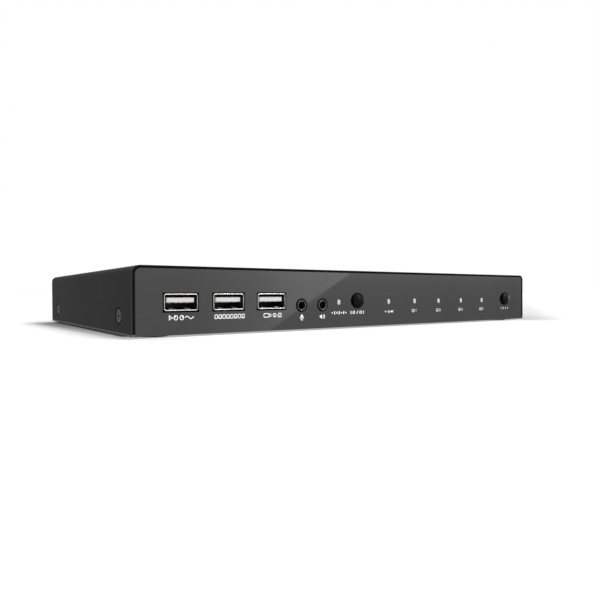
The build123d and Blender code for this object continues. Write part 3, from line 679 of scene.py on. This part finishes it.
class StageMaterial:
    """A material of the stage, with short ways to work out its values from the place, in metres."""

    def __init__(self, name):
        self.material = bpy.data.materials.new(name)
        self.material.use_nodes = True
        self.tree = self.material.node_tree
        place = self.tree.nodes.new("ShaderNodeTexCoord")
        split = self.tree.nodes.new("ShaderNodeSeparateXYZ")
        self.tree.links.new(place.outputs["Object"], split.inputs["Vector"])
        self.x, self.y, self.z = split.outputs

    def math(self, operation, *values):
        """One step of arithmetic on sockets and plain numbers."""
        node = self.tree.nodes.new("ShaderNodeMath")
        node.operation = operation
        for socket, value in zip(node.inputs, values):
            if isinstance(value, (int, float)):
                socket.default_value = value
            else:
                self.tree.links.new(value, socket)
        return node.outputs["Value"]

    def through(self, value, points):
        """Straight lines through (value, result) points."""
        (low, _), (high, _) = points[0], points[-1]
        factor = self.math("DIVIDE", self.math("SUBTRACT", value, low), high - low)
        most = max(result for _, result in points)
        ramp = self.tree.nodes.new("ShaderNodeValToRGB")
        elements = ramp.color_ramp.elements
        while len(elements) < len(points):
            elements.new(0.5)
        for element, (where, result) in zip(elements, points):
            element.position = (where - low) / (high - low)
            element.color = (result / most, result / most, result / most, 1.0)
        self.tree.links.new(factor, ramp.inputs["Fac"])
        return self.math("MULTIPLY", ramp.outputs["Color"], most)


# The floor is white paper, and shadows are painted into its colour in two places: along the left side of the
# case, and in a trail that starts at its right front corner.
FLOOR_WHITE = 0.63
FLOOR_ROUGHNESS = 0.9
# How far the left shade reaches out, by Y.
LEFT_REACH = [(-0.085, 0.0039), (0.3, 0.0324)]
# How dark it is, by the distance from the case as a share of that reach, and how much of that is left
# by Y and, under the case, by how far in.
LEFT_SHADE = [(0.0, 0.72), (0.35, 0.68), (0.54, 0.61), (0.7, 0.46), (0.86, 0.33), (1.04, 0.17), (1.3, 0.09),
              (1.7, 0.02), (2.2, 0.0)]
LEFT_ALONG = [(-0.08, 0.15), (-0.06, 0.4), (0.0, 0.8), (0.04, 1.0), (0.062, 1.0), (0.078, 0.25), (0.12, 0.0)]
LEFT_UNDER = 0.03
# The trail's direction in X and Y, how dark it is by the distance along it, and how wide it is on the
# open side and on the side that the case hides.
TRAIL_WAY = (0.841, 0.541)
TRAIL_SHADE = [(-0.012, 0.0), (0.0, 0.3), (0.02, 0.42), (0.09, 0.31), (0.19, 0.27), (0.48, 0.19), (0.8, 0.12),
               (1.5, 0.04), (2.5, 0.0)]
TRAIL_WIDTH = 0.021
TRAIL_HIDDEN_WIDTH = 0.06
# The paper glows a little under the front edge of the case, by Y, so that it stays pale there.
FRONT_GLOW = [(-0.0777, 0.0), (-0.0765, 0.4), (-0.068, 0.4), (-0.058, 0.0)]


def left_shade(paper):
    """The shade beside the case, which also fades out under it."""
    beside = paper.math("MAXIMUM", paper.math("SUBTRACT", cad_low.x, paper.x), 0)
    reached = paper.math("DIVIDE", beside, paper.through(paper.y, LEFT_REACH))
    under = paper.through(paper.x, [(cad_low.x, 1.0), (cad_low.x + LEFT_UNDER, 0.0)])
    along = paper.math("MULTIPLY", paper.through(paper.y, LEFT_ALONG), under)
    return paper.math("MULTIPLY", paper.through(reached, LEFT_SHADE), along)


def trail_shade(paper):
    """The shade that trails off past the right front corner, darkest along its middle line."""
    x = paper.math("SUBTRACT", paper.x, cad_high.x)
    y = paper.math("SUBTRACT", paper.y, cad_low.y)
    way_x, way_y = TRAIL_WAY
    ahead = paper.math("ADD", paper.math("MULTIPLY", x, way_x), paper.math("MULTIPLY", y, way_y))
    aside = paper.math("SUBTRACT", paper.math("MULTIPLY", x, way_y), paper.math("MULTIPLY", y, way_x))
    outside = paper.math("DIVIDE", aside, TRAIL_WIDTH)
    hidden = paper.math("DIVIDE", aside, -TRAIL_HIDDEN_WIDTH)
    squared = paper.math("POWER", paper.math("MAXIMUM", outside, hidden), 2)
    fade = paper.math("EXPONENT", paper.math("MULTIPLY", squared, -1))
    return paper.math("MULTIPLY", paper.through(ahead, TRAIL_SHADE), fade)


def make_floor():
    paper = StageMaterial("floor_white")
    # The two painted shadows darken the paper's colour.
    shade = paper.math("MAXIMUM", left_shade(paper), trail_shade(paper))
    white = paper.math("MULTIPLY", paper.math("SUBTRACT", 1, shade), FLOOR_WHITE)
    shader = paper.tree.nodes["Principled BSDF"]
    paper.tree.links.new(white, shader.inputs["Base Color"])
    shader.inputs["Roughness"].default_value = FLOOR_ROUGHNESS
    shader.inputs["Specular IOR Level"].default_value = 0.0
    shader.inputs["Emission Color"].default_value = WHITE
    under = paper.math("LESS_THAN", paper.math("ABSOLUTE", paper.x), cad_high.x)
    glow = paper.math("MULTIPLY", under, paper.through(paper.y, FRONT_GLOW))
    paper.tree.links.new(glow, shader.inputs["Emission Strength"])
    corners = [(x * FLOOR_HALF, y * FLOOR_HALF, 0) for x, y in ((-1, -1), (1, -1), (1, 1), (-1, 1))]
    floor = staged("floor", corners, paper.material)
    floor.visible_glossy = False


# The glossy front mirrors a tall card in front of it, which has a slanting edge between a brighter part
# at the left and a dimmer part at the right. A dim card behind the left side keeps that side dark. The
# cards are there only for the reflections, and the camera doesn't see them.
FRONT_CARD_Y = -0.776
FRONT_CARD_X = (-1.2, 2.4)
FRONT_CARD_Z = (-0.3, 0.5)
# The slanting edge lies at X = CARD_EDGE + CARD_SLANT * Z.
CARD_SLANT = 1.798
CARD_EDGE = 0.4607
# The card's light before and after the edge, by X, and how it grows with Z, less so before the edge.
BEFORE_EDGE = [(0.0, 1.64), (0.2, 1.64), (0.24, 1.77), (0.276, 1.91), (0.314, 2.01), (0.352, 2.21),
               (0.39, 2.52), (0.428, 2.75), (0.56, 2.83)]
AFTER_EDGE = [(0.3, 1.7), (0.581, 1.56), (0.886, 1.17), (1.05, 1.02), (1.13, 0.88), (1.3, 0.85)]
BEFORE_GROWTH = 0.4
UP_THE_CARD = [(-0.047, 0.92), (-0.016, 0.93), (0.013, 1.0), (0.027, 1.04), (0.039, 1.1), (0.0485, 1.18),
               (0.06, 1.3)]
SIDE_CARD_Y = 0.5
SIDE_CARD_X = (-1.4, -0.1)
SIDE_CARD_Z = (-0.4, 0.7)
SIDE_CARD_LIGHT = 0.42
# Two small bright cards give the push buttons their highlights: each one's place and its strength.
BUTTON_CARDS = [((0.84, -1.18, 0.58), 120.0), ((1.56, -0.34, 0.07), 14.0)]
BUTTON_CARD_HALF = 0.16


def glowing(card, strength):
    """Turns a card's material into a glow of the given strength, a number or a worked-out value."""
    tree = card.tree
    tree.nodes.remove(tree.nodes["Principled BSDF"])
    emission = tree.nodes.new("ShaderNodeEmission")
    if isinstance(strength, float):
        emission.inputs["Strength"].default_value = strength
    else:
        tree.links.new(strength, emission.inputs["Strength"])
    tree.links.new(emission.outputs["Emission"], tree.nodes["Material Output"].inputs["Surface"])
    return card.material


def make_card(name, x, y, z, material):
    """An upright card across Y that shows only in reflections."""
    (left, right), (low, high) = x, z
    card = staged(name, [(left, y, low), (right, y, low), (right, y, high), (left, y, high)], material)
    card.visible_camera = False
    card.visible_diffuse = False
    card.visible_shadow = False
    card.visible_transmission = False


def make_front_card():
    """The tall card, whose light changes at the slanting edge, along X and with Z."""
    card = StageMaterial("front_card")
    edge = card.math("ADD", card.math("MULTIPLY", card.z, CARD_SLANT), CARD_EDGE)
    past = card.math("GREATER_THAN", card.x, edge)
    up = card.through(card.z, UP_THE_CARD)
    up_before = card.math("MULTIPLY", card.math("POWER", up, BEFORE_GROWTH), card.math("SUBTRACT", 1, past))
    before = card.math("MULTIPLY", card.through(card.x, BEFORE_EDGE), up_before)
    after = card.math("MULTIPLY", card.through(card.x, AFTER_EDGE), card.math("MULTIPLY", up, past))
    strength = card.math("ADD", before, after)
    make_card("front_card", FRONT_CARD_X, FRONT_CARD_Y, FRONT_CARD_Z, glowing(card, strength))


def make_small_cards():
    """The dim card behind the left side, and the buttons' two bright ones."""
    dim = glowing(StageMaterial("side_card"), SIDE_CARD_LIGHT)
    make_card("side_card", SIDE_CARD_X, SIDE_CARD_Y, SIDE_CARD_Z, dim)
    for i, ((x, y, z), light) in enumerate(BUTTON_CARDS):
        across_x, across_z = ((place - BUTTON_CARD_HALF, place + BUTTON_CARD_HALF) for place in (x, z))
        name = f"button_card_{i + 1}"
        make_card(name, across_x, y, across_z, glowing(StageMaterial(name), light))


WORLD_LIGHT = 1.0
SUN_LIGHT = 3.2
SUN_SPREAD = 70
SUN_LEAN = 30
SUN_TURN = 12


def make_light():
    """Even white light from all round, and a broad soft light from above and in front."""
    world = bpy.data.worlds.new("studio")
    world.use_nodes = True
    background = world.node_tree.nodes["Background"]
    background.inputs["Color"].default_value = WHITE
    background.inputs["Strength"].default_value = WORLD_LIGHT
    bpy.context.scene.world = world
    bpy.context.scene.view_settings.view_transform = "Standard"
    light = bpy.data.lights.new("overhead", "SUN")
    light.energy = SUN_LIGHT
    light.angle = math.radians(SUN_SPREAD)
    lamp = bpy.data.objects.new("overhead", light)
    lamp.rotation_euler = (math.radians(SUN_LEAN), 0, math.radians(SUN_TURN))
    bpy.context.scene.collection.objects.link(lamp)


# The camera stands low in front of the left corner and looks almost level along the case.
CAMERA_PLACE = Vector((-0.17194, -0.26178, 0.01558))
CAMERA_TURN = 34.46
CAMERA_TILT = -0.62
CAMERA_ROLL = -0.21
CAMERA_LENS = 32.05
CAMERA_SENSOR = 36.0
CAMERA_NEAR = 0.01


def make_camera():
    data = bpy.data.cameras.new("camera")
    data.lens = CAMERA_LENS
    data.sensor_width = CAMERA_SENSOR
    data.clip_start = CAMERA_NEAR
    camera = bpy.data.objects.new("camera", data)
    turn = Matrix.Rotation(math.radians(-CAMERA_TURN), 4, "Z")
    tilt = Matrix.Rotation(math.radians(90 + CAMERA_TILT), 4, "X")
    roll = Matrix.Rotation(math.radians(CAMERA_ROLL), 4, "Z")
    camera.matrix_world = Matrix.Translation(CAMERA_PLACE) @ turn @ tilt @ roll
    bpy.context.scene.collection.objects.link(camera)
    bpy.context.scene.camera = camera


materials = make_materials()
paint_nodes()
for port in ("mouse", "keyboard", "device"):
    make_port(port)
for jack in ("microphone", "speaker"):
    make_jack_sleeve(jack)
print_front_marks()
print_rear_marks()
make_floor()
make_front_card()
make_small_cards()
make_light()
make_camera()
